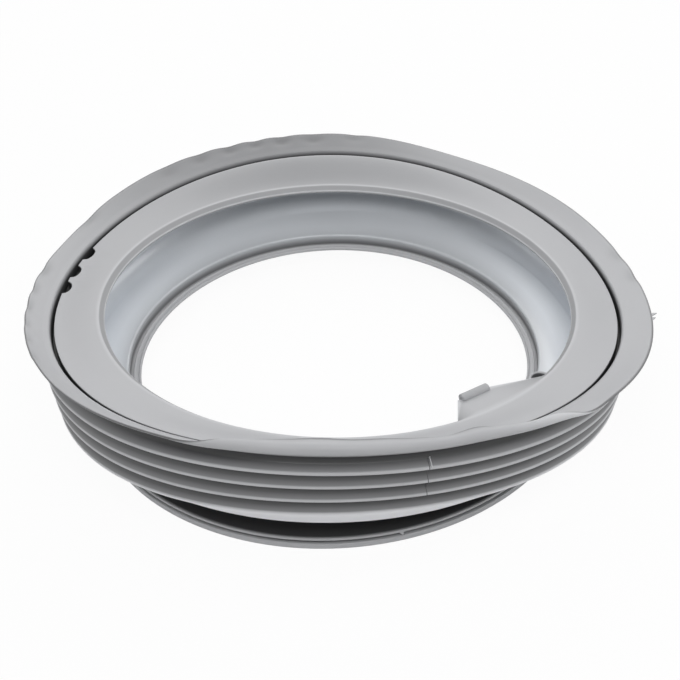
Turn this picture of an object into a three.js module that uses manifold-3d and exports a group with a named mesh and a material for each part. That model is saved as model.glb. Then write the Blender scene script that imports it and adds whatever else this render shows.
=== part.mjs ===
// Door seal of a front-loading washing machine: one moulded rubber bellows.
// It lies on its tub collar with the door side up, and sags a little under its own weight.
// Millimetres, +Z up. The origin is under the middle of the seal, on the surface it lies on.
import * as THREE from 'three';
import { mergeVertices } from 'three/addons/utils/BufferGeometryUtils.js';
import Module from 'manifold-3d';

// Tub collar, which is clamped round the mouth of the tub
const collarRadius = 161.6;
const collarLipHeight = 8.4;
const collarLipThickness = 1.7;
const clampGrooveHeight = 2.8;
const clampGrooveDepth = 2.8;
const collarWall = 4.2;
const edgeRound = 0.6;

// Recess under the bellows that takes the lip of the tub
const recessDepth = 22;
const recessHeight = 8.6;
const recessTop = collarLipHeight + recessHeight;

// Neck, the smallest opening, inside the collar and just over the recess
const neckInset = 33;
const neckRise = 2.6;
const neckLedge = 7;
const neckWallHeight = 7.6;
const neckRidgeHeight = 0.8;
const neckRadius = collarRadius - neckInset;
const neckHeight = recessTop + neckRise;
const bowlFloor = neckHeight + neckWallHeight;
// The bowl's floor starts to rise at this share of the way from the neck to the collar
const floorBreak = 0.45;

// Lip of the door face, which the door glass closes on: a bevel down to a thin edge
const lipRadius = 150;
const lipBevelWidth = 3.3;
const lipBevelHeight = 3.2;
const lipEdgeThickness = 1.8;
const shoulderRadius = lipRadius + lipBevelWidth;

// Door face, the dished ring outside the lip
const faceWidth = 30.6;
const faceStep = 10.6;
const faceDish = 3.4;
const faceThickness = 2.6;
const faceRadius = lipRadius + faceWidth;

// Bellows wall with its outer ribs, which stand out past the face and step in downwards
const ribCount = 4;
const ribReach = 10;
const ribPitch = 10;
const ribTaper = 1.75;
const ribLand = 1.7;
const ribUndercut = 5.6;
const coneRise = 12.8;
// The knee under the lowest rib, where its wall turns in to the cone
const kneeInset = 13.4;
const kneeDrop = 9.3;
const bellowsWall = 2.2;
const wall = 3;
const topRibRadius = faceRadius + ribReach;
const lowRibHeight = recessTop + coneRise;
const topRibHeight = lowRibHeight + (ribCount - 1) * ribPitch;
const bowlRadius = topRibRadius - (ribCount - 1) * ribTaper - ribUndercut - bellowsWall;
const faceHeight = topRibHeight + faceStep;
const shoulderHeight = faceHeight - faceDish;
const lipHeight = shoulderHeight - lipBevelHeight;

// Slot for the front panel, and the flap outside it
const slotWidth = 2.1;
const slotDepth = 7;
const slotWall = 2.6;
const flapWidth = 17.7;
const flapThickness = 1.6;
const flapRiseAngle = 25.9;
// The flap thins from the slot's wall to its own thickness over this share of its width
const flapThinning = 0.3;

// Front part of the flap, folded back over the door face
const foldStartAngle = 238;
const foldFullFromAngle = 262;
const foldFullToAngle = 288;
const foldEndAngle = 322;
const foldTurnAngle = 200;
const foldRoot = 4.2;
const foldArc = 6.4;

// How the soft part hangs: its sides drop and its front and back rise by the sag,
// and its door side leans towards the right and the back, as a slope, and drifts right
const sag = 12.6;
const leanRight = 0.056;
const leanBack = 0.063;
const drift = 2.9;

// How far each part of the section follows the hang, from 0 at the stiff collar to 1
const give = {
  collar: { sag: 0, lean: 0, drift: 0 },
  neck: { sag: 0.25, lean: 0.45, drift: 0 },
  recess: { sag: 0.15, lean: 0.25, drift: 0.3 },
  coneFoot: { sag: 0.25, lean: 0.3, drift: 0.3 },
  lowKnee: { sag: 0.3, lean: 0.65, drift: 0 },
  lowRib: { sag: 1.1, lean: 0.61, drift: 0.88 },
  topRib: { sag: 0.97, lean: 1.04, drift: 1.17 },
  face: { sag: 0.8, lean: 1, drift: 1.3 },
  lip: { sag: 0.13, lean: 1, drift: 1.7 },
  rim: { sag: 1.025, lean: 1.207, drift: 2.12 },
};

// The corner under the face follows the hang between the face, at 0, and the lip, at 1
const underFaceGive = 0.3;

// The foot of the bowl's wall follows the foot of the cone by this share, and the lowest rib
const bowlFootGive = 0.8;

// Waves of the flap's rim: place in degrees, half width in degrees, lift
const rimWaves = [
  { at: 31, spread: 13, lift: 1.7 },
  { at: 63, spread: 14, lift: -2.7 },
  { at: 128, spread: 16, lift: 1.6 },
  { at: 157, spread: 9, lift: -2.2 },
  { at: 203, spread: 8, lift: 1.8 },
  { at: 247, spread: 5, lift: -1.6 },
  { at: 265, spread: 6, lift: 2.2 },
  { at: 275, spread: 4, lift: 1.2 },
  { at: 286, spread: 3, lift: -1.2 },
  { at: 292, spread: 3, lift: 2.2 },
  { at: 301, spread: 4, lift: -1.6 },
  { at: 313, spread: 4, lift: -3 },
];

// Three drain notches in the outer edge of the door face
const notchAngles = [158.4, 165.5, 171.7];
const notchHalfLength = 7.2;
const notchDepth = 4.5;

// Pull tab on the lip, with a bead along its inner edge
const tabAngle = 308.95;
const tabRootLength = 77.6;
const tabReach = 18;
const tabSkewAngle = 4.15;
const tabEdgeLength = 24;
const tabThickness = 2.2;
const tabBeadRadius = 2.9;
const tabBeadLength = 20.5;
const tabEdgeAngle = tabAngle - tabSkewAngle;

// Drain spout that stands on the bowl beside the tab
const spoutAngle = 334.4;
const spoutClearance = 3.3;
const spoutRadius = 7.3;
const spoutWall = 2.1;
const spoutHeight = 8.4;
const spoutDepth = 16.6;
const spoutDistance = neckRadius + neckLedge + spoutClearance;
const spoutTop = bowlFloor + spoutHeight;
// A cut starts this far outside the rubber
const cutPast = 1;

const steps = 76;
const flapSteps = 7;
const roundSides = 14;
// Short steps in which the flap's centre line is followed, and the least step that counts
const flapSlices = 60;
const tiny = 1e-9;
const rad = Math.PI / 180;

function mix(a, b, t) {
  return a + (b - a) * t;
}

function ease(from, to, value) {
  const t = Math.min(Math.max((value - from) / (to - from), 0), 1);
  return t * t * (3 - 2 * t);
}

function blend(a, b, t) {
  return {
    sag: mix(a.sag, b.sag, t),
    lean: mix(a.lean, b.lean, t),
    drift: mix(a.drift, b.drift, t),
  };
}

// A point of the section: radius, height and how it follows the hang
function point(r, z, follow) {
  return { r, z, follow };
}

function collarOutside() {
  const grooveFoot = collarLipHeight - collarLipThickness - clampGrooveHeight;
  const grooveFloor = collarRadius - clampGrooveDepth;
  return [
    point(collarRadius - collarWall, 0, give.collar),
    point(collarRadius - edgeRound, 0, give.collar),
    point(collarRadius, edgeRound, give.collar),
    point(collarRadius, grooveFoot, give.collar),
    point(grooveFloor, grooveFoot + edgeRound, give.collar),
    point(grooveFloor, grooveFoot + clampGrooveHeight, give.collar),
    point(collarRadius, grooveFoot + clampGrooveHeight, give.collar),
    point(collarRadius, collarLipHeight - edgeRound, give.collar),
  ];
}

function recessSection() {
  const floor = neckHeight - recessHeight / 2;
  const back = collarRadius - recessDepth;
  return [
    point(collarRadius - recessDepth / 2, collarLipHeight + wall / 3, give.collar),
    point(back, floor, give.recess),
    point(collarRadius - collarWall - edgeRound, recessTop, give.coneFoot),
    point(collarRadius - collarWall + edgeRound, recessTop + 2 * edgeRound, give.coneFoot),
  ];
}

function ribSection() {
  const points = [];
  for (let i = ribCount - 1; i >= 0; i -= 1) {
    const r = topRibRadius - i * ribTaper;
    const z = topRibHeight - i * ribPitch;
    const follow = blend(give.topRib, give.lowRib, i / (ribCount - 1));
    if (i < ribCount - 1) {
      points.push(point(r - ribUndercut, z - ribLand, follow));
    }
    points.push(point(r - edgeRound, z - ribLand / 2 - edgeRound / 2, follow));
    points.push(point(r, z, follow));
    points.push(point(r - edgeRound / 2, z + ribLand / 2, follow));
  }
  const knee = topRibRadius - (ribCount - 1) * ribTaper - kneeInset;
  return [point(knee, lowRibHeight - kneeDrop, give.lowKnee), ...points];
}

// Centre line of the flap at one angle, from its root to its rim
function flapLine(angle) {
  const unfolded = ease(foldFullToAngle, foldEndAngle, angle);
  const folded = ease(foldStartAngle, foldFullFromAngle, angle) * (1 - unfolded);
  const foldAt = mix(flapWidth + foldArc / 2, foldRoot + foldArc / 2, folded);
  const marks = [];
  for (let k = 0; k <= flapSteps; k += 1) {
    const even = flapWidth * k / flapSteps;
    const inArc = foldAt - foldArc / 2 + foldArc * (k - 1) / (flapSteps - 2);
    const dense = k === 0 ? 0 : Math.min(inArc, flapWidth);
    marks.push(k === flapSteps ? flapWidth : mix(even, dense, folded));
  }
  const line = [];
  let x = 0;
  let y = 0;
  let next = 0;
  for (let i = 0; i <= flapSlices; i += 1) {
    const s = flapWidth * i / flapSlices;
    const turn = Math.min(Math.max((s - foldAt + foldArc / 2) / foldArc, 0), 1);
    const heading = (flapRiseAngle + foldTurnAngle * turn) * rad;
    const alongX = Math.cos(heading);
    const alongY = Math.sin(heading);
    while (next < marks.length && marks[next] <= s + tiny) {
      const spare = s - marks[next];
      line.push({ x: x - spare * alongX, y: y - spare * alongY, heading, s: marks[next] });
      next += 1;
    }
    x += alongX * flapWidth / flapSlices;
    y += alongY * flapWidth / flapSlices;
  }
  return line;
}

function rimLift(angle) {
  let lift = 0;
  for (const wave of rimWaves) {
    const away = (angle - wave.at) / wave.spread;
    lift += wave.lift * Math.exp(-away * away);
  }
  return lift;
}

function flapSection(angle) {
  const rootRadius = faceRadius + slotWidth + slotWall / 2;
  const rootHeight = faceHeight + edgeRound;
  const under = [];
  const over = [];
  for (const mark of flapLine(angle)) {
    const out = mark.s / flapWidth;
    const half = mix(slotWall, flapThickness, ease(0, flapThinning, out)) / 2;
    const follow = blend(give.face, give.rim, out);
    const lift = rimLift(angle) * out * out;
    const acrossX = -Math.sin(mark.heading) * half;
    const acrossY = Math.cos(mark.heading) * half;
    under.push(point(rootRadius + mark.x - acrossX, rootHeight + mark.y - acrossY + lift, follow));
    over.push(point(rootRadius + mark.x + acrossX, rootHeight + mark.y + acrossY + lift, follow));
  }
  return [...under, ...over.reverse()];
}

function faceSection() {
  const dish = [];
  const dishSteps = 4;
  for (let k = 0; k <= dishSteps; k += 1) {
    const inward = ease(0, dishSteps, k);
    const r = mix(faceRadius - edgeRound, shoulderRadius, k / dishSteps);
    dish.push(point(r, mix(faceHeight, shoulderHeight, inward), blend(give.face, give.lip, inward)));
  }
  const underFace = faceHeight - faceThickness - wall;
  return [
    point(faceRadius + slotWidth, faceHeight - slotDepth, give.face),
    point(faceRadius, faceHeight - slotDepth, give.face),
    point(faceRadius, faceHeight - edgeRound, give.face),
    ...dish,
    point(lipRadius + edgeRound, lipHeight, give.lip),
    point(lipRadius, lipHeight - edgeRound, give.lip),
    point(lipRadius + edgeRound / 2, lipHeight - lipEdgeThickness, give.lip),
    point(shoulderRadius + edgeRound, shoulderHeight - faceThickness, give.lip),
    point(bowlRadius - wall, underFace, blend(give.face, give.lip, underFaceGive)),
  ];
}

function bowlSection() {
  const wallFoot = lowRibHeight + 4 * wall;
  const points = [point(bowlRadius, topRibHeight, give.topRib)];
  const roundSteps = 3;
  for (let k = 0; k <= roundSteps; k += 1) {
    const t = k / roundSteps;
    const r = bowlRadius - (bowlRadius - collarRadius) * (1 - Math.cos(t * Math.PI / 2));
    const z = mix(wallFoot, lowRibHeight - wall / 2, Math.sin(t * Math.PI / 2));
    points.push(point(r, z, blend(give.lowRib, give.coneFoot, bowlFootGive * t * t)));
  }
  const ledge = neckRadius + neckLedge;
  const middle = ledge + (collarRadius - ledge) * floorBreak;
  points.push(point(middle, bowlFloor + edgeRound / 2, blend(give.neck, give.coneFoot, floorBreak)));
  points.push(point(ledge + 2 * edgeRound, bowlFloor, give.neck));
  points.push(point(ledge, bowlFloor - 2 * edgeRound, give.neck));
  return points;
}

function neckSection() {
  const ridge = neckLedge / 4;
  return [
    point(neckRadius + neckLedge, neckHeight, give.neck),
    point(neckRadius + 3 * ridge, neckHeight, give.neck),
    point(neckRadius + 2.5 * ridge, neckHeight + neckRidgeHeight, give.neck),
    point(neckRadius + 2 * ridge, neckHeight, give.neck),
    point(neckRadius + ridge, neckHeight, give.neck),
    point(neckRadius + ridge / 2, neckHeight + neckRidgeHeight, give.neck),
    point(neckRadius, neckHeight, give.neck),
    point(neckRadius, neckHeight - 2 * neckRidgeHeight, give.neck),
  ];
}

function section(angle) {
  return [
    ...collarOutside(),
    ...recessSection(),
    ...ribSection(),
    point(faceRadius + slotWidth + slotWall, faceHeight - slotDepth + wall, give.face),
    ...flapSection(angle),
    ...faceSection(),
    ...bowlSection(),
    ...neckSection(),
  ];
}

// Where a point of the section lies in space once the seal hangs in its own shape
function hang(r, z, follow, angle) {
  const x = r * Math.cos(angle * rad);
  const y = r * Math.sin(angle * rad);
  const drop = sag * follow.sag * Math.cos(2 * angle * rad);
  const lean = follow.lean * (leanRight * x + leanBack * y);
  return new THREE.Vector3(x + drift * follow.drift, y, z - drop - lean);
}

function ringBody() {
  const positions = [];
  const indices = [];
  const count = section(0).length;
  for (let i = 0; i < steps; i += 1) {
    const angle = 360 * i / steps;
    for (const p of section(angle)) {
      positions.push(...hang(p.r, p.z, p.follow, angle).toArray());
    }
  }
  for (let i = 0; i < steps; i += 1) {
    for (let j = 0; j < count; j += 1) {
      const a = i * count + j;
      const b = i * count + (j + 1) % count;
      const c = ((i + 1) % steps) * count + (j + 1) % count;
      const d = ((i + 1) % steps) * count + j;
      indices.push(a, d, b, b, d, c);
    }
  }
  const geometry = new THREE.BufferGeometry();
  geometry.setAttribute('position', new THREE.Float32BufferAttribute(positions, 3));
  geometry.setIndex(indices);
  return geometry;
}

const wasm = await Module();
wasm.setup();

function toSolid(geometry) {
  const plain = geometry.clone();
  plain.deleteAttribute('normal');
  plain.deleteAttribute('uv');
  const merged = mergeVertices(plain, 1e-4);
  const vertProperties = new Float32Array(merged.attributes.position.array);
  const triVerts = new Uint32Array(merged.index.array);
  return new wasm.Manifold(new wasm.Mesh({ numProp: 3, vertProperties, triVerts }));
}

function fromSolid(solid) {
  const mesh = solid.getMesh();
  const positions = [];
  for (let i = 0; i < mesh.vertProperties.length; i += mesh.numProp) {
    positions.push(...mesh.vertProperties.subarray(i, i + 3));
  }
  const geometry = new THREE.BufferGeometry();
  geometry.setAttribute('position', new THREE.Float32BufferAttribute(positions, 3));
  geometry.setIndex([...mesh.triVerts]);
  return geometry;
}

// Plate of the pull tab, drawn flat, then tilted up to the shoulder and laid on the hanging lip
function tabPlate() {
  const root = lipRadius + lipBevelWidth / 2;
  const inner = lipRadius - tabReach;
  const corner = (r, angle) => new THREE.Vector2(r * Math.cos(angle * rad), r * Math.sin(angle * rad));
  const edgeHalf = tabEdgeLength / 2 / inner / rad;
  const rootHalf = tabRootLength / 2 / root / rad;
  const corners = [corner(inner, tabEdgeAngle - edgeHalf), corner(inner, tabEdgeAngle + edgeHalf)];
  const arcSteps = 5;
  for (let k = 0; k <= arcSteps; k += 1) {
    corners.push(corner(root, tabAngle + rootHalf - 2 * rootHalf * k / arcSteps));
  }
  const outline = new THREE.Shape(corners);
  const plate = new THREE.ExtrudeGeometry(outline, { depth: tabThickness, bevelEnabled: false });
  plate.translate(0, 0, lipHeight - edgeRound - tabThickness);
  const at = plate.attributes.position;
  for (let i = 0; i < at.count; i += 1) {
    const outward = (Math.hypot(at.getX(i), at.getY(i)) - inner) / (root - inner);
    at.setZ(i, at.getZ(i) + lipBevelHeight * outward);
  }
  return layOnLip(plate);
}

function tabBead() {
  const bead = new THREE.CylinderGeometry(tabBeadRadius, tabBeadRadius, tabBeadLength, roundSides);
  bead.rotateZ(tabEdgeAngle * rad);
  const r = lipRadius - tabReach + edgeRound;
  const z = lipHeight + edgeRound / 2;
  bead.translate(r * Math.cos(tabEdgeAngle * rad), r * Math.sin(tabEdgeAngle * rad), z);
  return layOnLip(bead);
}

// The flat parts at the lip lean with it as one piece
function layOnLip(geometry) {
  const at = geometry.attributes.position;
  for (let i = 0; i < at.count; i += 1) {
    const angle = Math.atan2(at.getY(i), at.getX(i)) / rad;
    const r = Math.hypot(at.getX(i), at.getY(i));
    at.setXYZ(i, ...hang(r, at.getZ(i), give.lip, angle).toArray());
  }
  return geometry;
}

// An upright round rod at the drain spout, by its radius, height and top
function uprightRod(radius, height, top) {
  const rod = new THREE.CylinderGeometry(radius, radius, height, roundSides);
  rod.rotateX(Math.PI / 2);
  const x = spoutDistance * Math.cos(spoutAngle * rad) + drift;
  rod.translate(x, spoutDistance * Math.sin(spoutAngle * rad), top - height / 2);
  return rod;
}

// A half-round notch that opens into the slot
function notch(angle) {
  const mouth = slotWidth / 2;
  const points = [];
  const arcSteps = 8;
  for (let k = 0; k <= arcSteps; k += 1) {
    const turn = Math.PI * (0.5 + k / arcSteps);
    const x = (notchDepth + mouth) * Math.cos(turn);
    points.push(new THREE.Vector2(x, notchHalfLength * Math.sin(turn)));
  }
  const outline = new THREE.Shape(points);
  const cut = new THREE.ExtrudeGeometry(outline, { depth: 2 * slotDepth, bevelEnabled: false });
  cut.rotateZ(angle * rad);
  const middle = hang(faceRadius + mouth, faceHeight - slotDepth, give.face, angle);
  cut.translate(middle.x, middle.y, middle.z);
  return cut;
}

function doorSeal() {
  let solid = toSolid(ringBody());
  solid = solid.add(toSolid(tabPlate())).add(toSolid(tabBead()));
  const spout = uprightRod(spoutRadius, spoutDepth, spoutTop);
  const bore = uprightRod(spoutRadius - spoutWall, spoutDepth - wall + cutPast, spoutTop + cutPast);
  solid = solid.add(toSolid(spout)).subtract(toSolid(bore));
  for (const angle of notchAngles) {
    solid = solid.subtract(toSolid(notch(angle)));
  }
  return fromSolid(solid);
}

const rubberColour = 0xb4b6ba;
const rubber = new THREE.MeshStandardMaterial({ color: rubberColour, roughness: 0.55, metalness: 0 });
const seal = new THREE.Mesh(doorSeal(), rubber);
seal.name = 'door_seal';
seal.geometry.computeBoundingBox();
const middle = seal.geometry.boundingBox.getCenter(new THREE.Vector3());
seal.position.set(-middle.x, -middle.y, 0);

const object = new THREE.Group();
object.add(seal);

export default object;
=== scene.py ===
import math

import bpy
import numpy as np
from mathutils import Euler, Matrix, Vector


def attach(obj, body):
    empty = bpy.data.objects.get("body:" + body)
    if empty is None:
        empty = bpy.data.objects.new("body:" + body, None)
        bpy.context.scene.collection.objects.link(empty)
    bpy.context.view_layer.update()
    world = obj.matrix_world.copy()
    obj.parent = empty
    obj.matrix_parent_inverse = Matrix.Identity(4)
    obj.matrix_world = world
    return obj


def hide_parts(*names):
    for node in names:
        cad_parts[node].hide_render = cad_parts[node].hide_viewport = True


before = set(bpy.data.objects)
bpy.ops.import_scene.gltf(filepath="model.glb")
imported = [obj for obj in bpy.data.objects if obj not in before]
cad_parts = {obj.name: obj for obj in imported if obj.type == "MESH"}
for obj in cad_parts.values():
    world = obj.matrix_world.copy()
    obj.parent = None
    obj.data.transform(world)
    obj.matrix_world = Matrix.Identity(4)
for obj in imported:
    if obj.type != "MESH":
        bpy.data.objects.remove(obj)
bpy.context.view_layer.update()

# The seal's own axis beside the origin, which is under the middle of its box
AXIS_X = -0.006148
AXIS_Y = -0.004836

# Camera, fitted to the photograph: where it stands in metres, how it is turned, and its lens
# and sensor in millimetres
CAMERA_AT = (AXIS_X + 0.00005, AXIS_Y - 0.724466, 0.57728)
CAMERA_DOWN = math.radians(37.05)
CAMERA_YAW = math.radians(0.37)
CAMERA_ROLL = math.radians(-3.495)
LENS = 72.3
SENSOR = 36.0

# Roundings of the section's corners, from fine to wide, in metres like all sizes of the seal
RIDGE_ROUND = 0.0002
FINE_ROUND = 0.0003
CREST_ROUND = 0.0004
SLOT_ROUND = 0.0005
EDGE_ROUND = 0.0006
FOLD_ROUND = 0.0008
SHOULDER_ROUND = 0.001
CONE_FOOT_ROUND = 0.0012
LEDGE_ROUND = 0.0014
UNDER_ROUND = 0.002
HOLLOW_ROUND = 0.004
BOWL_FLOOR_ROUND = 0.008
# The largest share of an edge that one rounding takes up
ROUND_SHARE = 0.45

# Tub collar, which is clamped round the mouth of the tub
COLLAR_RADIUS = 0.1616
COLLAR_LIP_HEIGHT = 0.0084
COLLAR_LIP_THICKNESS = 0.0017
CLAMP_GROOVE_HEIGHT = 0.0028
CLAMP_GROOVE_DEPTH = 0.0028
COLLAR_WALL = 0.0042

# Neck, the smallest opening
NECK_RADIUS = 0.1286
NECK_HEIGHT = 0.0196
NECK_LEDGE = 0.007
NECK_WALL_HEIGHT = 0.0076
NECK_RIDGE_HEIGHT = 0.0008

# Recess under the bellows
RECESS_DEPTH = 0.022
RECESS_HEIGHT = 0.0086

# Bellows wall with its outer ribs
RIB_COUNT = 4
TOP_RIB_RADIUS = 0.1906
TOP_RIB_HEIGHT = 0.0598
RIB_PITCH = 0.010
RIB_TAPER = 0.00175
RIB_LAND = 0.0017
RIB_UNDERCUT = 0.0056
WALL = 0.003
# The knee under the lowest rib, where its wall turns in to the cone
KNEE_INSET = 0.0134
KNEE_DROP = 0.0093
# The point of the shoulder near the top rib: its share of the way out, and of the way down
SHOULDER_OUT = 0.85
SHOULDER_DOWN = 0.75

# Bowl, and the point in the middle of its floor: its share of the way out, and its rise
BOWL_RADIUS = 0.17755
BOWL_FLOOR_OUT = 0.45
BOWL_FLOOR_RISE = 0.0003

# Door face with its lip
FACE_RADIUS = 0.1806
FACE_HEIGHT = 0.0704
FACE_THICKNESS = 0.0026
LIP_RADIUS = 0.150
LIP_HEIGHT = 0.0638
LIP_BEVEL_WIDTH = 0.0033
LIP_BEVEL_HEIGHT = 0.0032
LIP_EDGE_THICKNESS = 0.0018
LIP_SHOULDER_RADIUS = LIP_RADIUS + LIP_BEVEL_WIDTH
LIP_SHOULDER_HEIGHT = LIP_HEIGHT + LIP_BEVEL_HEIGHT
BEVEL_SHARES = (0.2, 0.5, 0.8)

# Slot for the front panel, and the flap outside it, whose rise is in degrees
SLOT_WIDTH = 0.0021
SLOT_DEPTH = 0.007
SLOT_WALL = 0.0026
FLAP_WIDTH = 0.0177
FLAP_THICKNESS = 0.0016
FLAP_RISE = 25.9
# Shares of the flap's width: painted shade darkens its underside up to the first, and its thick
# root ends at the second
FLAP_ROOT_FROM = 0.1
FLAP_ROOT_TO = 0.3
# Share of the flap's thickness that is left at its rim
RIM_THIN = 0.55

# Front part of the flap, folded back over the door face: its places round the ring in
# degrees, where on the flap the fold starts, the length of its arc, and its turn in degrees
FOLD_START = 238
FOLD_FULL_FROM = 262
FOLD_FULL_TO = 288
FOLD_END = 322
FOLD_ROOT = 0.0042
FOLD_ARC = 0.0064
FOLD_TURN = 192

# How the soft part hangs: sag at the sides, slopes of its lean, and drift to the right
SAG = 0.0126
LEAN_RIGHT = 0.056
LEAN_BACK = 0.063
DRIFT = 0.0029
# Sag, lean and drift of each part of the section, from 0 at the stiff collar
GIVE = {
    "collar": (0, 0, 0),
    "neck": (0.25, 0.45, 0),
    "recess": (0.15, 0.25, 0.3),
    "cone_foot": (0.25, 0.3, 0.3),
    "low_knee": (0.3, 0.65, 0),
    "low_rib": (1.1, 0.61, 0.88),
    "top_rib": (0.97, 1.04, 1.17),
    "face": (0.8, 1, 1.3),
    "lip": (0.13, 1, 1.7),
    "rim": (1.025, 1.207, 2.12),
}
# How much the underside follows the lip, and how much the bowl follows the cone's foot
UNDERSIDE_FOLLOWS = 0.3
BOWL_WALL_FOLLOWS = 0.8
BOWL_FLOOR_FOLLOWS = 0.4

# Waves of the flap's rim: place and half width in degrees, lift
RIM_WAVES = [
    (31, 13, 0.0017),
    (63, 14, -0.0027),
    (128, 16, 0.0016),
    (157, 9, -0.0022),
    (203, 8, 0.0018),
    (247, 5, -0.0016),
    (265, 6, 0.0022),
    (275, 4, 0.0012),
    (286, 3, -0.0012),
    (292, 3, 0.0022),
    (301, 4, -0.0016),
    (313, 4, -0.003),
]

# Dents in the flap: place and half width in degrees, share of the flap's width, depth
FLAP_DENTS = [
    (84, 1.8, 0.8, 0.0012),
    (93, 2, 0.7, 0.0018),
    (100, 1.8, 0.75, 0.0022),
    (106, 1.8, 0.8, 0.002),
    (112, 2, 0.8, 0.0022),
    (119, 2, 0.75, 0.0019),
    (127, 2.4, 0.7, 0.0013),
    (150, 3, 0.85, 0.0015),
    (169, 2, 0.85, 0.0019),
    (176, 1.6, 0.9, 0.002),
    (182, 1.8, 0.9, 0.0022),
    (188, 1.6, 0.9, 0.002),
    (194, 1.8, 0.9, 0.002),
    (201, 1.8, 0.9, 0.0017),
    (14, 2.4, 0.85, 0.0014),
    (6, 2, 0.9, 0.0016),
]
# Half width of a dent, as a share of the flap's width
DENT_WIDTH = 0.25
# Painted shade in the dents: loss of tone for each metre of a dent's depth
DENT_PAINTED_SHADE = 90

# Seam line on the ribs, and small tags of flash: places and widths in degrees, with the
# length of each tag on the rim
SEAM_ANGLE = 283.3
SEAM_STEP = 0.4
SEAM_RADIUS = 0.00022
COLLAR_FLASH_ANGLE = 281.5
COLLAR_FLASH_WIDTH = 1.7
RIM_FLASHES = [(352, 0.0034), (350.5, 0.0022)]
RIM_FLASH_WIDTH = 1.1
FLASH_THICKNESS = 0.0007

# Notches in the outer edge of the door face
NOTCH_ANGLES = (158.4, 165.5, 171.7)
NOTCH_HALF_LENGTH = 0.0072
NOTCH_DEPTH = 0.0045

# Pull tab on the lip: where its sides leave the lip, and where its middle is, in degrees
TAB_FROM = 294.4
TAB_TO = 323.5
TAB_REACH = 0.018
TAB_EDGE_LENGTH = 0.024
TAB_THICKNESS = 0.0022
TAB_ANGLE = 304.8
TAB_BEAD_RADIUS = 0.0029
TAB_BEAD_LENGTH = 0.0205
TAB_BEAD_ROUND = 0.0009

# Drain spout beside the tab
SPOUT_ANGLE = 334.4
SPOUT_DISTANCE = 0.1389
SPOUT_RADIUS = 0.0073
SPOUT_BORE = 0.0052
SPOUT_TOP = 0.0356
SPOUT_DEPTH = 0.0166
# How far the middle of the mouth's rounding stays off its corner
SPOUT_CORNER = 0.00018

# Steps of the rounded stretches of the section
FLAP_STEPS = 16
FLAP_SLICES = 160
DISH_STEPS = 12
BOWL_STEPS = 10

# Steps round the ring in degrees, and the stretches that take the finer one
BASE_STEP = 0.9
FINE_STEP = 0.25
NOTCH_STRETCH = 3.2
TAB_STRETCHES = [(TAB_FROM - 1, TAB_FROM + 7), (TAB_TO - 14, TAB_TO - 11)]

# Painted shade and light: tones that the rubber's colour is multiplied by, where 0 is black,
# 1 plain, below 1 painted shade and above 1 painted light or highlight
SLOT_PAINTED_SHADE = 0.02
FOLD_PAINTED_SHADE = 0.07
SLOPE_PAINTED_SHADE = 0.2
RIM_PAINTED_SHADOW = 0.3
NECK_CORNER_PAINTED_SHADE = 0.3
SPOUT_BORE_PAINTED_SHADE = 0.3
LIP_UNDER_PAINTED_SHADE = 0.4
NEAR_CREST_PAINTED_SHADE = 0.45
SPOUT_FOOT_PAINTED_SHADE = 0.5
BEVEL_PAINTED_SHADE = 0.75
LEDGE_PAINTED_SHADE = 0.8
SPOUT_EDGE_PAINTED_SHADE = 0.8
BEAD_PAINTED_SHADE = 0.85
BOWL_TOP_PAINTED_SHADE = 0.9
CREST_PAINTED_HIGHLIGHT = 1.15
COLLAR_PAINTED_LIGHT = 1.15
LIP_SHOULDER_PAINTED_HIGHLIGHT = 1.2
LIP_EDGE_PAINTED_HIGHLIGHT = 1.5
CONE_PAINTED_LIGHT = 1.9
# Painted shade on the slope up from a crest: tones by the share of the way to the fold above it
RIB_SLOPE_PAINTED_SHADE = [(0.1, NEAR_CREST_PAINTED_SHADE), (0.5, SLOPE_PAINTED_SHADE)]
# Painted shade round the back: its place and half width, and its loss of tone on the flap and
# face; then the painted highlight gained at the bowl's sides
BACK_PAINTED_SHADE_ANGLE = 100
BACK_PAINTED_SHADE_SPREAD = 45
FLAP_BACK_PAINTED_SHADE = 0.4
FACE_BACK_PAINTED_SHADE = 0.22
BOWL_SIDE_PAINTED_HIGHLIGHT = 0.5
# Where the fold opens again on the right and its underside shows, and the painted light gained
# there
FOLD_OPENS_AT = 313
FOLD_OPENS_OVER = 10
OPENING_PAINTED_LIGHT = 0.45

# Rubber: its two clouded greys, the paler grey of the bowl, which is painted light, roughness,
# clouds and grain
DARK_GREY = (0.43, 0.435, 0.45, 1)
LIGHT_GREY = (0.47, 0.473, 0.487, 1)
BOWL_PAINTED_LIGHT_GREY = (0.66, 0.685, 0.715, 1)
ROUGHNESS = (0.48, 0.60)
BOWL_ROUGHNESS = 0.22
CLOUD_SCALE = 26
CLOUD_DETAIL = 5
GRAIN_SCALE = 900
GRAIN_DETAIL = 3
GRAIN_STRENGTH = 0.25
GRAIN_HEIGHT = 0.0002

# Lamps: name, place, size and watts, and the point that they all face
LAMPS = [
    ("left_box", (-1.3, 0.1, 0.55), (0.6, 1.2), 3),
    ("right_box", (1.3, 0.1, 0.55), (0.6, 1.2), 6),
    ("front_high", (0, -1.0, 1.3), (1.4, 0.6), 13),
    ("back_high", (0, 1.1, 0.95), (1.6, 0.9), 9),
    ("top", (0, 0, 1.5), (1.0, 1.0), 3),
]
LAMPS_FACE = (0, 0, 0.06)
WORLD_LIGHT = 0.1

# Floor: half its size, its colour, and how far it is seen as plain white, without shadows
FLOOR_REACH = 6.0
FLOOR_COLOUR = (0.9, 0.9, 0.9, 1)
FLOOR_WHITE = 0.95


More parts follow.
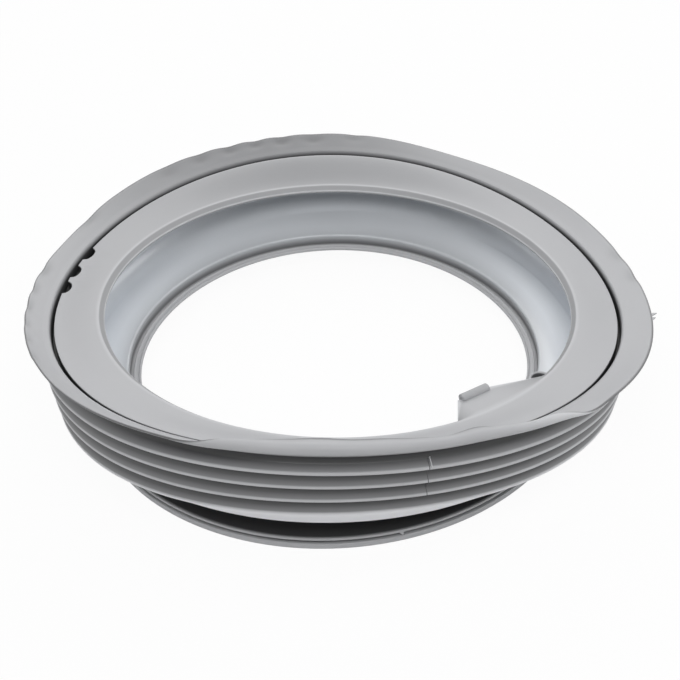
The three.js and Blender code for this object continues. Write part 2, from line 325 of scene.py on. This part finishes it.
def make_camera():
    data = bpy.data.cameras.new("camera")
    data.lens = LENS
    data.sensor_width = SENSOR
    camera = bpy.data.objects.new("camera", data)
    bpy.context.scene.collection.objects.link(camera)
    tilt = Euler((math.pi / 2 - CAMERA_DOWN, 0, -CAMERA_YAW)).to_matrix()
    roll = Matrix.Rotation(CAMERA_ROLL, 3, "Z")
    camera.matrix_world = Matrix.Translation(CAMERA_AT) @ (tilt @ roll).to_4x4()
    bpy.context.scene.camera = camera


def mix(a, b, t):
    return a + (b - a) * t


def ease(low, high, value):
    """A share that goes smoothly from 0 at one value to 1 at another."""
    t = min(max((value - low) / (high - low), 0), 1)
    return t * t * (3 - 2 * t)


def bump(value, at, spread):
    """A smooth bump: 1 at its own place, and almost 0 two spreads away."""
    return math.exp(-((value - at) / spread) ** 2)


def polar(r, angle):
    return np.array((r * math.cos(math.radians(angle)), r * math.sin(math.radians(angle))))


def point(r, z, give, round_by=0.0, painted_shading=1.0):
    """A point of the section: radius, height, how it follows the hang, its rounding and its painted
    light or shade.
    """
    follow = GIVE[give] if isinstance(give, str) else give
    return np.array((r, z, *follow, painted_shading)), round_by


def between(a, b, t):
    """How a point follows the hang when it lies between two parts of the section."""
    return tuple(mix(x, y, t) for x, y in zip(GIVE[a], GIVE[b]))


def collar_outside():
    """The collar's outer side from its foot up, with the clamp groove and the thin lip."""
    groove_foot = COLLAR_LIP_HEIGHT - COLLAR_LIP_THICKNESS - CLAMP_GROOVE_HEIGHT
    groove_floor = COLLAR_RADIUS - CLAMP_GROOVE_DEPTH
    groove_top = groove_foot + CLAMP_GROOVE_HEIGHT
    # Painted light on the collar's outside, and painted shade in the clamp groove
    return [
        point(COLLAR_RADIUS - COLLAR_WALL, 0, "collar", CREST_ROUND),
        point(COLLAR_RADIUS, 0, "collar", EDGE_ROUND, COLLAR_PAINTED_LIGHT),
        point(COLLAR_RADIUS, groove_foot, "collar", CREST_ROUND, COLLAR_PAINTED_LIGHT),
        point(groove_floor, groove_foot + EDGE_ROUND, "collar", FINE_ROUND, SLOPE_PAINTED_SHADE),
        point(groove_floor, groove_top, "collar", FINE_ROUND, FOLD_PAINTED_SHADE),
        point(COLLAR_RADIUS, groove_top, "collar", FINE_ROUND),
        point(COLLAR_RADIUS, COLLAR_LIP_HEIGHT, "collar", EDGE_ROUND, COLLAR_PAINTED_LIGHT),
    ]


def recess_section():
    """The recess for the lip of the tub, dark with painted shade, in over the collar and out under
    the cone.
    """
    back = COLLAR_RADIUS - RECESS_DEPTH
    back_height = NECK_HEIGHT - RECESS_HEIGHT / 2
    foot = COLLAR_RADIUS - COLLAR_WALL
    lip = COLLAR_LIP_HEIGHT
    cone_foot = lip + RECESS_HEIGHT + EDGE_ROUND
    return [
        point(COLLAR_RADIUS - 3 * EDGE_ROUND, lip + EDGE_ROUND / 3, "collar", 0, 2 * FOLD_PAINTED_SHADE),
        point(COLLAR_RADIUS - RECESS_DEPTH / 2, lip + WALL / 3, "collar", HOLLOW_ROUND, FOLD_PAINTED_SHADE),
        point(back, back_height, "recess", UNDER_ROUND, FOLD_PAINTED_SHADE),
        point(foot, cone_foot, "cone_foot", CONE_FOOT_ROUND, FOLD_PAINTED_SHADE),
    ]


def rib_section():
    """The knee under the lowest rib, then the ribs from the lowest one up."""
    low = TOP_RIB_RADIUS - (RIB_COUNT - 1) * RIB_TAPER
    foot = TOP_RIB_HEIGHT - (RIB_COUNT - 1) * RIB_PITCH
    knee_r, knee_z = low - KNEE_INSET, foot - KNEE_DROP
    # Painted shade just under the knee, and painted light on the cone up to the lowest rib
    points = [
        point(knee_r - EDGE_ROUND, knee_z - EDGE_ROUND / 3, "low_knee", 0, FOLD_PAINTED_SHADE),
        point(knee_r, knee_z, "low_knee", EDGE_ROUND / 2, CONE_PAINTED_LIGHT),
    ]
    for i in reversed(range(RIB_COUNT)):
        lowest = i == RIB_COUNT - 1
        r = TOP_RIB_RADIUS - i * RIB_TAPER
        z = TOP_RIB_HEIGHT - i * RIB_PITCH
        follow = between("top_rib", "low_rib", i / (RIB_COUNT - 1))
        # Painted shade in each undercut, painted highlights on the crests, and painted light at the
        # lowest rib's foot
        if not lowest:
            points.append(point(r - RIB_UNDERCUT, z - RIB_LAND, follow, FOLD_ROUND, FOLD_PAINTED_SHADE))
        foot_painted_light = CONE_PAINTED_LIGHT if lowest else CREST_PAINTED_HIGHLIGHT
        points.append(point(r, z - RIB_LAND / 2, follow, SLOT_ROUND, foot_painted_light))
        points.append(point(r, z + RIB_LAND / 2, follow, CREST_ROUND, CREST_PAINTED_HIGHLIGHT))
        if i > 0:
            # Painted shade down the slope from each crest
            for share, painted_shading in RIB_SLOPE_PAINTED_SHADE:
                up = mix(z + RIB_LAND / 2, z + RIB_PITCH - RIB_LAND, share)
                inner = mix(r, r + RIB_TAPER - RIB_UNDERCUT, share)
                points.append(point(inner, up, follow, 0, painted_shading))
    return points


def shoulder_section():
    """The shoulder from the top rib in to the fold under the flap."""
    wall = FACE_RADIUS + SLOT_WIDTH + SLOT_WALL
    root = FACE_HEIGHT - SLOT_DEPTH + WALL
    near_r = mix(wall, TOP_RIB_RADIUS, SHOULDER_OUT)
    near_z = mix(root, TOP_RIB_HEIGHT, SHOULDER_DOWN)
    # Painted shade near the top rib and in the fold under the flap
    return [
        point(near_r, near_z, "top_rib", 0, NEAR_CREST_PAINTED_SHADE),
        point(wall, root, "face", SHOULDER_ROUND, FOLD_PAINTED_SHADE),
    ]


def flap_line(angle):
    """Centre line of the flap at one angle, from its root to its rim."""
    folded = ease(FOLD_START, FOLD_FULL_FROM, angle) * (1 - ease(FOLD_FULL_TO, FOLD_END, angle))
    fold_at = mix(FLAP_WIDTH + FOLD_ARC / 2, FOLD_ROOT + FOLD_ARC / 2, folded)
    s = np.linspace(0, FLAP_WIDTH, FLAP_SLICES + 1)
    turn = np.clip((s - fold_at + FOLD_ARC / 2) / FOLD_ARC, 0, 1)
    heading = np.radians(FLAP_RISE + FOLD_TURN * turn)
    step = FLAP_WIDTH / FLAP_SLICES
    x = np.concatenate(((0,), np.cumsum(np.cos(heading[:-1]) * step)))
    y = np.concatenate(((0,), np.cumsum(np.sin(heading[:-1]) * step)))
    # Points along the line: evenly spaced on the open flap, and mostly on the arc where it folds
    even = np.linspace(0, FLAP_WIDTH, FLAP_STEPS + 1)
    arc = fold_at - FOLD_ARC / 2 + FOLD_ARC * np.linspace(0, 1, FLAP_STEPS - 3)
    dense = np.concatenate(((0, FOLD_ROOT / 2), np.minimum(arc, FLAP_WIDTH), (0, 0)))
    last = dense[FLAP_STEPS - 2]
    dense[-2:] = (mix(last, FLAP_WIDTH, 0.5), FLAP_WIDTH)
    marks = mix(even, dense, folded)
    return [np.interp(marks, s, line) for line in (x, y, heading, s)]


def rim_lift(angle):
    """How far the flap's rim is lifted by its waves at one angle."""
    return sum(lift * bump(angle, at, spread) for at, spread, lift in RIM_WAVES)


def back_painted_shade(angle, amount):
    """Painted shade of the top faces, which are a little darker round the back."""
    return 1 - amount * bump(angle, BACK_PAINTED_SHADE_ANGLE, BACK_PAINTED_SHADE_SPREAD)


def flap_dent(angle, out):
    """How deep the flap's dents are at one angle and share of its width."""
    depth = 0
    for at, spread, middle, dent in FLAP_DENTS:
        depth += dent * bump(angle, at, spread) * bump(out, middle, DENT_WIDTH)
    return depth


def flap_section(angle):
    """The flap's underside from its root to the rim, then its top face back to the slot."""
    root_radius = FACE_RADIUS + SLOT_WIDTH + SLOT_WALL / 2
    root_height = FACE_HEIGHT + EDGE_ROUND
    lifted = rim_lift(angle)
    # Painted light on the underside where the fold opens
    opening_painted_light = 1 + OPENING_PAINTED_LIGHT * bump(angle, FOLD_OPENS_AT, FOLD_OPENS_OVER)
    under, over = [], []
    for k, (x, y, heading, s) in enumerate(zip(*flap_line(angle))):
        out = s / FLAP_WIDTH
        half = mix(SLOT_WALL, FLAP_THICKNESS, ease(0, FLAP_ROOT_TO, out)) / 2
        # Painted shade round the back, a painted shadow line at the rim, and painted shade in the
        # dents
        painted_shading = back_painted_shade(angle, FLAP_BACK_PAINTED_SHADE)
        if k == FLAP_STEPS:
            half *= RIM_THIN
            painted_shading = RIM_PAINTED_SHADOW
        dent = flap_dent(angle, out)
        painted_shading *= 1 - DENT_PAINTED_SHADE * dent
        # The underside: painted shade near the root, and painted light out where the fold opens
        under_painted_shading = painted_shading * mix(2 * FOLD_PAINTED_SHADE, opening_painted_light, ease(FLAP_ROOT_FROM, FLAP_ROOT_TO, out))
        across = np.array((-math.sin(heading), math.cos(heading))) * half
        follow = between("face", "rim", out)
        r = root_radius + x
        z = root_height + y + lifted * out * out - dent
        under.append(point(r - across[0], z - across[1], follow, 0, under_painted_shading))
        over.append(point(r + across[0], z + across[1], follow, 0, painted_shading))
    return under + over[::-1]


def notch_depth(angle):
    """How deep the drain notches cut into the face's edge at one angle."""
    depth = 0
    for at in NOTCH_ANGLES:
        along = abs(math.radians(angle - at)) * FACE_RADIUS / NOTCH_HALF_LENGTH
        if along < 1:
            depth = NOTCH_DEPTH * math.sqrt(1 - along * along)
    return depth


def line_radius(a, b, angle):
    """Radius at which the line through two points meets the ray at an angle."""
    ray = polar(1, angle)
    along = b - a
    return (a[0] * along[1] - a[1] * along[0]) / (ray[0] * along[1] - ray[1] * along[0])


def lip_edge(angle):
    """Inner edge of the lip, which reaches further in at the pull tab, and how far it is tab."""
    if not TAB_FROM < angle < TAB_TO:
        return LIP_RADIUS, 0
    root = LIP_RADIUS + LIP_BEVEL_WIDTH / 2
    inner = LIP_RADIUS - TAB_REACH
    half = math.degrees(TAB_EDGE_LENGTH / 2 / inner)
    first, last = polar(inner, TAB_ANGLE - half), polar(inner, TAB_ANGLE + half)
    if angle < TAB_ANGLE:
        side = line_radius(polar(root, TAB_FROM), first, angle)
    else:
        side = line_radius(last, polar(root, TAB_TO), angle)
    edge = min(max(line_radius(first, last, angle), side), LIP_RADIUS)
    return edge, (LIP_RADIUS - edge) / TAB_REACH


def face_section(angle):
    """The slot, the dished face, the bevel and edge of the lip or tab, and the underside."""
    edge, tabness = lip_edge(angle)
    cut = notch_depth(angle)
    mouth = FACE_HEIGHT - 2 * EDGE_ROUND
    floor = FACE_HEIGHT - SLOT_DEPTH
    # Painted shade in the slot, blackest at its floor
    points = [
        point(FACE_RADIUS + SLOT_WIDTH, mouth, "face", 0, 6 * SLOT_PAINTED_SHADE),
        point(FACE_RADIUS + SLOT_WIDTH, floor, "face", SLOT_ROUND, SLOT_PAINTED_SHADE),
        point(FACE_RADIUS - cut, floor, "face", SLOT_ROUND, SLOT_PAINTED_SHADE),
        point(FACE_RADIUS - cut, mouth, "face", 0, 3 * SLOT_PAINTED_SHADE),
        point(FACE_RADIUS - cut, FACE_HEIGHT, "face", EDGE_ROUND / 2),
    ]
    for k in range(1, DISH_STEPS + 1):
        t = k / DISH_STEPS
        inward = ease(0, 1, t)
        r = mix(FACE_RADIUS - cut * (1 - t), LIP_SHOULDER_RADIUS, t)
        z = mix(FACE_HEIGHT, LIP_SHOULDER_HEIGHT, inward)
        # Painted shade round the back on the dish, and a painted highlight on the lip's shoulder
        round_by, painted_shading = 0, back_painted_shade(angle, FACE_BACK_PAINTED_SHADE)
        if k == DISH_STEPS:
            round_by, painted_shading = FINE_ROUND, LIP_SHOULDER_PAINTED_HIGHLIGHT
        points.append(point(r, z, between("face", "lip", inward), round_by, painted_shading))
    tip = LIP_HEIGHT - EDGE_ROUND * tabness
    # Painted shade on the lip's bevel, fading out on the tab
    bevel_painted_shade = mix(BEVEL_PAINTED_SHADE, 1, tabness)
    for t in BEVEL_SHARES:
        r = mix(LIP_SHOULDER_RADIUS, edge, t)
        z = mix(LIP_SHOULDER_HEIGHT, tip, t)
        points.append(point(r, z, "lip", 0, bevel_painted_shade))
    thickness = mix(LIP_EDGE_THICKNESS, TAB_THICKNESS, tabness)
    inset = edge + EDGE_ROUND / 2
    # A painted highlight on the lip's edge, and painted shade under it
    points.append(point(edge, tip, "lip", EDGE_ROUND / 2, LIP_EDGE_PAINTED_HIGHLIGHT))
    points.append(point(inset, tip - thickness, "lip", EDGE_ROUND / 2, LIP_UNDER_PAINTED_SHADE))
    under_lip = LIP_SHOULDER_HEIGHT - FACE_THICKNESS
    points.append(point(LIP_SHOULDER_RADIUS + EDGE_ROUND, under_lip, "lip", UNDER_ROUND))
    under_face = FACE_HEIGHT - FACE_THICKNESS - WALL
    follow = between("face", "lip", UNDERSIDE_FOLLOWS)
    points.append(point(BOWL_RADIUS - WALL, under_face, follow, HOLLOW_ROUND))
    return points


def bowl_section(angle):
    """The bowl's wall, its rounded foot, and its floor in to the neck's ledge."""
    # Painted highlights on the bowl's left and right sides, painted shade at its top, and painted
    # shade on the neck's ledge
    side = 1 + BOWL_SIDE_PAINTED_HIGHLIGHT * math.cos(math.radians(angle)) ** 4
    last_rib = TOP_RIB_HEIGHT - (RIB_COUNT - 1) * RIB_PITCH
    wall_foot = last_rib + 4 * WALL
    points = [point(BOWL_RADIUS, TOP_RIB_HEIGHT, "top_rib", UNDER_ROUND, BOWL_TOP_PAINTED_SHADE * side)]
    for k in range(BOWL_STEPS + 1):
        t = k / BOWL_STEPS
        turn = t * math.pi / 2
        r = BOWL_RADIUS - (BOWL_RADIUS - COLLAR_RADIUS) * (1 - math.cos(turn))
        z = mix(wall_foot, last_rib - WALL / 2, math.sin(turn))
        follow = between("low_rib", "cone_foot", t * t * BOWL_WALL_FOLLOWS)
        points.append(point(r, z, follow, 0, side))
    ledge = NECK_RADIUS + NECK_LEDGE
    floor = NECK_HEIGHT + NECK_WALL_HEIGHT
    middle = mix(ledge, COLLAR_RADIUS, BOWL_FLOOR_OUT)
    follow = between("neck", "cone_foot", BOWL_FLOOR_FOLLOWS)
    points.append(point(middle, floor + BOWL_FLOOR_RISE, follow, BOWL_FLOOR_ROUND, side))
    points.append(point(ledge, floor, "neck", LEDGE_ROUND, LEDGE_PAINTED_SHADE))
    return points


def neck_section():
    """The neck's ledge with its two fine ridges, each one quarter of the ledge wide."""
    quarter = NECK_LEDGE / 4
    top = NECK_HEIGHT + NECK_RIDGE_HEIGHT
    bottom = NECK_HEIGHT - 2 * NECK_RIDGE_HEIGHT
    # Painted shade in the corner at the ledge's outer edge
    points = [point(NECK_RADIUS + NECK_LEDGE, NECK_HEIGHT, "neck", EDGE_ROUND, NECK_CORNER_PAINTED_SHADE)]
    for start in (3, 1):
        points.append(point(NECK_RADIUS + start * quarter, NECK_HEIGHT, "neck", RIDGE_ROUND))
        points.append(point(NECK_RADIUS + (start - 0.5) * quarter, top, "neck", FINE_ROUND))
        points.append(point(NECK_RADIUS + (start - 1) * quarter, NECK_HEIGHT, "neck", RIDGE_ROUND))
    points.append(point(NECK_RADIUS, bottom, "neck", SLOT_ROUND))
    return points


def section(angle):
    """All points of the section at one angle, with the part that each belongs to."""
    parts = [
        ("collar", collar_outside()),
        ("recess", recess_section()),
        ("ribs", rib_section()),
        ("shoulder", shoulder_section()),
        ("flap", flap_section(angle)),
        ("face", face_section(angle)),
        ("bowl", bowl_section(angle)),
        ("neck", neck_section()),
    ]
    points = [p for _, part in parts for p in part]
    zones = [name for name, part in parts for _ in part]
    return points, zones


def rounded(points, zones):
    """The closed section with each corner rounded by its own amount."""
    out, kinds = [], []
    count = len(points)
    for i, (p, round_by) in enumerate(points):
        if not round_by:
            out.append(p)
            kinds.append(zones[i])
            continue
        before = points[i - 1][0]
        after = points[(i + 1) % count][0]
        back = np.linalg.norm((before - p)[:2])
        ahead = np.linalg.norm((after - p)[:2])
        start = p + (before - p) * min(round_by / back, ROUND_SHARE)
        end = p + (after - p) * min(round_by / ahead, ROUND_SHARE)
        out += [start, (start + 2 * p + end) / 4, end]
        kinds += [zones[i]] * 3
    return np.array(out), kinds


def hang(points, angle):
    """Places section points in space once the seal hangs in its own shape."""
    turn = math.radians(angle)
    r, z, sag, lean, drift = np.asarray(points).T[:5]
    x = r * math.cos(turn)
    y = r * math.sin(turn)
    drop = SAG * sag * math.cos(2 * turn) + lean * (LEAN_RIGHT * x + LEAN_BACK * y)
    return np.stack((x + DRIFT * drift + AXIS_X, y + AXIS_Y, z - drop), axis=1)


def ring_angles():
    """Angles round the ring, closer together at the notches and the tab's sides."""
    busy = [(at - NOTCH_STRETCH, at + NOTCH_STRETCH) for at in NOTCH_ANGLES] + TAB_STRETCHES
    angles = list(np.arange(0, 360, BASE_STEP))
    for low, high in busy:
        angles = [a for a in angles if not low < a < high] + list(np.arange(low, high, FINE_STEP))
    return sorted(angles)


def new_object(name, vertices, faces, painted_shadings=None, smooth=True):
    """A mesh object whose vertices carry their painted light or shade, 1 where none is given."""
    mesh = bpy.data.meshes.new(name)
    mesh.from_pydata([tuple(v) for v in vertices], [], faces)
    mesh.update()
    if smooth:
        mesh.polygons.foreach_set("use_smooth", [True] * len(mesh.polygons))
    painted_shading = mesh.attributes.new("painted_shading", "FLOAT", "POINT")
    painted_shading.data.foreach_set("value", np.ones(len(vertices)) if painted_shadings is None else painted_shadings)
    piece = bpy.data.objects.new(name, mesh)
    bpy.context.scene.collection.objects.link(piece)
    return piece


def dress(piece, material):
    """Gives a piece of the seal its rubber, and ties it to the part."""
    piece.data.materials.append(material)
    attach(piece, "root")


def tube_faces(rings, sides):
    """Faces of a tube with closed ends, from its first ring of vertices to its last."""
    faces = [tuple(reversed(range(sides)))]
    for k in range(rings - 1):
        for i in range(sides):
            j = (i + 1) % sides
            faces.append((k * sides + i, k * sides + j, (k + 1) * sides + j, (k + 1) * sides + i))
    faces.append(tuple(range((rings - 1) * sides, rings * sides)))
    return faces


def make_seal(material):
    """The whole moulded ring, its section swept round once."""
    angles = ring_angles()
    rings, painted_shadings, zones = [], [], None
    for angle in angles:
        points, zones = rounded(*section(angle))
        rings.append(hang(points, angle))
        painted_shadings.append(points[:, 5])
    count = len(zones)
    total = len(angles)
    faces = []
    for i in range(total):
        here = i * count
        there = (i + 1) % total * count
        for j in range(count):
            k = (j + 1) % count
            faces.append((here + j, there + j, there + k, here + k))
    piece = new_object("seal_body", np.concatenate(rings), faces, np.concatenate(painted_shadings))
    bowl = piece.data.attributes.new("bowl", "FLOAT", "POINT")
    in_bowl = np.array([1.0 if zone == "bowl" else 0.0 for zone in zones])
    bowl.data.foreach_set("value", np.tile(in_bowl, total))
    keep_flats = piece.modifiers.new("keep_flats", "WEIGHTED_NORMAL")
    keep_flats.keep_sharp = False
    dress(piece, material)
    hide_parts("door_seal")


def make_tab_bead(material):
    """The rounded bead along the inner edge of the pull tab."""
    sides = 28
    cap_rings = 5
    centre = polar(LIP_RADIUS - TAB_REACH + EDGE_ROUND, TAB_ANGLE)
    along = polar(1, TAB_ANGLE + 90)
    across = polar(1, TAB_ANGLE)
    half = TAB_BEAD_LENGTH / 2 - TAB_BEAD_ROUND
    core = TAB_BEAD_RADIUS - TAB_BEAD_ROUND
    cap = []
    for k in range(cap_rings):
        turn = k / (cap_rings - 1) * math.pi / 2
        cap.append((half + TAB_BEAD_ROUND * math.sin(turn), core + TAB_BEAD_ROUND * math.cos(turn)))
    profile = [(-s, radius) for s, radius in reversed(cap)] + cap
    vertices = []
    for s, radius in profile:
        for i in range(sides):
            turn = 2 * math.pi * i / sides
            x, y = centre + along * s + across * radius * math.cos(turn)
            z = LIP_HEIGHT + EDGE_ROUND / 2 + radius * math.sin(turn)
            p = point(math.hypot(x, y), z, "lip")[0]
            vertices.append(hang([p], math.degrees(math.atan2(y, x)))[0])
    # Painted shade over the whole bead
    painted_shadings = np.full(len(vertices), BEAD_PAINTED_SHADE)
    dress(new_object("tab_bead", vertices, tube_faces(len(profile), sides), painted_shadings), material)


def make_strand(name, path, radius, painted_shading, material):
    """A thin strand along a path that lies on the outside of the wall."""
    sides = 6
    along = np.gradient(path, axis=0)
    along /= np.linalg.norm(along, axis=1)[:, None]
    vertices = []
    for p, t in zip(path, along):
        across = np.cross((p[0], p[1], 0), t)
        across /= np.linalg.norm(across)
        out = np.cross(t, across)
        for i in range(sides):
            turn = 2 * math.pi * i / sides
            vertices.append(p + (across * math.cos(turn) + out * math.sin(turn)) * radius)
    painted_shadings = np.full(len(vertices), painted_shading)
    dress(new_object(name, vertices, tube_faces(len(path), sides), painted_shadings), material)


def make_seam(material):
    """The mould's seam down the ribs at the front, with a raised strand on the top rib."""
    inside = FACE_RADIUS + SLOT_WIDTH + WALL / 2
    low = TOP_RIB_HEIGHT - 2 * RIB_PITCH - RIB_LAND
    high = FACE_HEIGHT - SLOT_DEPTH + WALL
    points, _ = section(SEAM_ANGLE)
    wall = [p for p, _ in points if p[0] > inside and low < p[1] <= high]
    # The seam line carries the slopes' painted shade, and the strand the crests' painted highlight
    make_strand("seam_line", hang(wall, SEAM_ANGLE), SEAM_RADIUS, SLOPE_PAINTED_SHADE, material)
    top = [p for p in wall if p[1] > TOP_RIB_HEIGHT]
    strand = hang(top, SEAM_ANGLE + SEAM_STEP)
    make_strand("seam_strand", strand, 2 * SEAM_RADIUS, CREST_PAINTED_HIGHLIGHT, material)


def make_flash(name, angle, root, tip, width, material):
    """A small tag of flash, from a root on an edge out to a tip, its width in degrees."""
    half = width / 2
    left = hang([root], angle - half)[0]
    right = hang([root], angle + half)[0]
    end = hang([tip], angle + half / 2)[0]
    lower = np.array((0, 0, -FLASH_THICKNESS))
    vertices = [left, right, end, left + lower, right + lower, end + lower]
    faces = [(0, 2, 1), (3, 4, 5), (0, 1, 4, 3), (1, 2, 5, 4), (2, 0, 3, 5)]
    dress(new_object(name, vertices, faces, smooth=False), material)


def make_flashes(material):
    """One tag on the collar's lip at the front, and two on the flap's rim at the right."""
    lip = point(COLLAR_RADIUS - EDGE_ROUND, COLLAR_LIP_HEIGHT, "collar")[0]
    tip = lip + np.array((3 * FLASH_THICKNESS, -3 * FLASH_THICKNESS, 0, 0, 0, 0))
    make_flash("collar_flash", COLLAR_FLASH_ANGLE, lip, tip, COLLAR_FLASH_WIDTH, material)
    for angle, size in RIM_FLASHES:
        flap = flap_section(angle)
        rim = flap[len(flap) // 2][0]
        tip = rim + np.array((size, size / 3, 0, 0, 0, 0))
        make_flash("rim_flash_%d" % angle, angle, rim, tip, RIM_FLASH_WIDTH, material)


def make_spout(material):
    """The drain spout: up its outside, over its rounded mouth and down its bore."""
    sides = 40
    foot = SPOUT_TOP - SPOUT_DEPTH
    corner_height = SPOUT_TOP - SPOUT_CORNER
    # Each ring of the profile carries its painted shade, deepest down the bore
    profile = [
        (SPOUT_RADIUS, foot, SPOUT_FOOT_PAINTED_SHADE),
        (SPOUT_RADIUS, SPOUT_TOP - EDGE_ROUND, SPOUT_EDGE_PAINTED_SHADE),
        (SPOUT_RADIUS - SPOUT_CORNER, corner_height, 1),
        (SPOUT_RADIUS - EDGE_ROUND, SPOUT_TOP, 1),
        (SPOUT_BORE + EDGE_ROUND, SPOUT_TOP, 1),
        (SPOUT_BORE + SPOUT_CORNER, corner_height, SPOUT_EDGE_PAINTED_SHADE),
        (SPOUT_BORE, SPOUT_TOP - EDGE_ROUND, SPOUT_BORE_PAINTED_SHADE),
        (SPOUT_BORE, SPOUT_TOP - SPOUT_DEPTH / 2, FOLD_PAINTED_SHADE),
        (SPOUT_BORE, foot + WALL, FOLD_PAINTED_SHADE),
    ]
    x, y = polar(SPOUT_DISTANCE, SPOUT_ANGLE) + (DRIFT + AXIS_X, AXIS_Y)
    vertices, painted_shadings = [], []
    for r, z, painted_shading in profile:
        for i in range(sides):
            turn = 2 * math.pi * i / sides
            vertices.append((x + r * math.cos(turn), y + r * math.sin(turn), z))
            painted_shadings.append(painted_shading)
    dress(new_object("drain_spout", vertices, tube_faces(len(profile), sides), painted_shadings), material)


def noise(tree, scale, detail):
    """Cloudy noise fixed to the object, from 0 to 1."""
    place = tree.nodes.new("ShaderNodeTexCoord")
    texture = tree.nodes.new("ShaderNodeTexNoise")
    texture.inputs["Scale"].default_value = scale
    texture.inputs["Detail"].default_value = detail
    tree.links.new(place.outputs["Object"], texture.inputs["Vector"])
    return texture.outputs["Fac"]


def attribute(tree, name):
    """A value that the vertices carry under a name."""
    node = tree.nodes.new("ShaderNodeAttribute")
    node.attribute_name = name
    return node.outputs["Fac"]


def ranged(tree, share, low, high):
    """A number that goes from low to high as the share goes from 0 to 1."""
    node = tree.nodes.new("ShaderNodeMapRange")
    node.inputs["To Min"].default_value = low
    node.inputs["To Max"].default_value = high
    tree.links.new(share, node.inputs["Value"])
    return node.outputs["Result"]


def mixed(tree, kind, share, first, second, blend="MIX"):
    """Mixes two colours or numbers, each a plain value or the output of another node."""
    node = tree.nodes.new("ShaderNodeMix")
    node.data_type = kind
    node.blend_type = blend
    for name, source in (("Factor", share), ("A", first), ("B", second)):
        if isinstance(source, bpy.types.NodeSocket):
            tree.links.new(source, node.inputs[name])
        else:
            node.inputs[name].default_value = source
    return node.outputs["Result"]


def rubber():
    """Satin grey rubber, faintly clouded and grained, shinier in the bowl and paler there as
    painted light, with painted light and shade multiplied in.
    """
    material = bpy.data.materials.new("grey_rubber")
    material.use_nodes = True
    tree = material.node_tree
    shader = tree.nodes["Principled BSDF"]
    cloud = noise(tree, CLOUD_SCALE, CLOUD_DETAIL)
    bowl = attribute(tree, "bowl")

    clouded = mixed(tree, "RGBA", cloud, DARK_GREY, LIGHT_GREY)
    # The bowl's paler grey is painted light
    plain = mixed(tree, "RGBA", bowl, clouded, BOWL_PAINTED_LIGHT_GREY)
    # Painted light and shade, which each vertex carries, multiplied into the colour
    shaded = mixed(tree, "RGBA", 1, plain, attribute(tree, "painted_shading"), "MULTIPLY")
    tree.links.new(shaded, shader.inputs["Base Color"])

    matt = ranged(tree, cloud, *ROUGHNESS)
    gloss = mixed(tree, "FLOAT", bowl, matt, BOWL_ROUGHNESS)
    tree.links.new(gloss, shader.inputs["Roughness"])

    grain = tree.nodes.new("ShaderNodeBump")
    grain.inputs["Strength"].default_value = GRAIN_STRENGTH
    grain.inputs["Distance"].default_value = GRAIN_HEIGHT
    tree.links.new(noise(tree, GRAIN_SCALE, GRAIN_DETAIL), grain.inputs["Height"])
    tree.links.new(grain.outputs["Normal"], shader.inputs["Normal"])
    return material


def seen_as_white(tree, light, white):
    """A value that is one number to the camera and in reflections, and another to all the rest."""
    path = tree.nodes.new("ShaderNodeLightPath")
    seen = path.outputs["Is Camera Ray"]
    for name in ("Is Glossy Ray", "Is Transmission Ray"):
        either = tree.nodes.new("ShaderNodeMath")
        either.operation = "MAXIMUM"
        tree.links.new(seen, either.inputs[0])
        tree.links.new(path.outputs[name], either.inputs[1])
        seen = either.outputs["Value"]
    return ranged(tree, seen, light, white)


def area_light(name, at, size, power):
    data = bpy.data.lights.new(name, "AREA")
    data.shape = "RECTANGLE"
    data.size, data.size_y = size
    data.energy = power
    light = bpy.data.objects.new(name, data)
    bpy.context.scene.collection.objects.link(light)
    light.location = at
    light.rotation_euler = (Vector(LAMPS_FACE) - Vector(at)).to_track_quat("-Z", "Y").to_euler()


def make_lights():
    """The lamps, and a world that gives a little light and is seen as white."""
    for lamp in LAMPS:
        area_light(*lamp)
    world = bpy.data.worlds.new("studio")
    bpy.context.scene.world = world
    world.use_nodes = True
    background = world.node_tree.nodes["Background"]
    background.inputs["Color"].default_value = (1, 1, 1, 1)
    strength = seen_as_white(world.node_tree, WORLD_LIGHT, 1.0)
    world.node_tree.links.new(strength, background.inputs["Strength"])


def make_floor():
    """A matt floor, seen as almost white, that keeps a faint shadow under the seal."""
    low, high = -FLOOR_REACH, FLOOR_REACH
    vertices = [(low, low, 0), (high, low, 0), (high, high, 0), (low, high, 0)]
    floor = new_object("floor", vertices, [(0, 1, 2, 3)], smooth=False)
    material = bpy.data.materials.new("floor_white")
    material.use_nodes = True
    nodes = material.node_tree.nodes
    links = material.node_tree.links
    shader = nodes["Principled BSDF"]
    shader.inputs["Base Color"].default_value = FLOOR_COLOUR
    shader.inputs["Roughness"].default_value = 1.0
    shader.inputs["Specular IOR Level"].default_value = 0.0
    glow = nodes.new("ShaderNodeEmission")
    both = nodes.new("ShaderNodeMixShader")
    links.new(seen_as_white(material.node_tree, 0.0, FLOOR_WHITE), both.inputs["Fac"])
    links.new(shader.outputs["BSDF"], both.inputs[1])
    links.new(glow.outputs["Emission"], both.inputs[2])
    links.new(both.outputs["Shader"], nodes["Material Output"].inputs["Surface"])
    floor.data.materials.append(material)


make_camera()
make_lights()
make_floor()
grey = rubber()
make_seal(grey)
make_tab_bead(grey)
make_spout(grey)
make_seam(grey)
make_flashes(grey)
bpy.context.scene.view_settings.view_transform = "Standard"
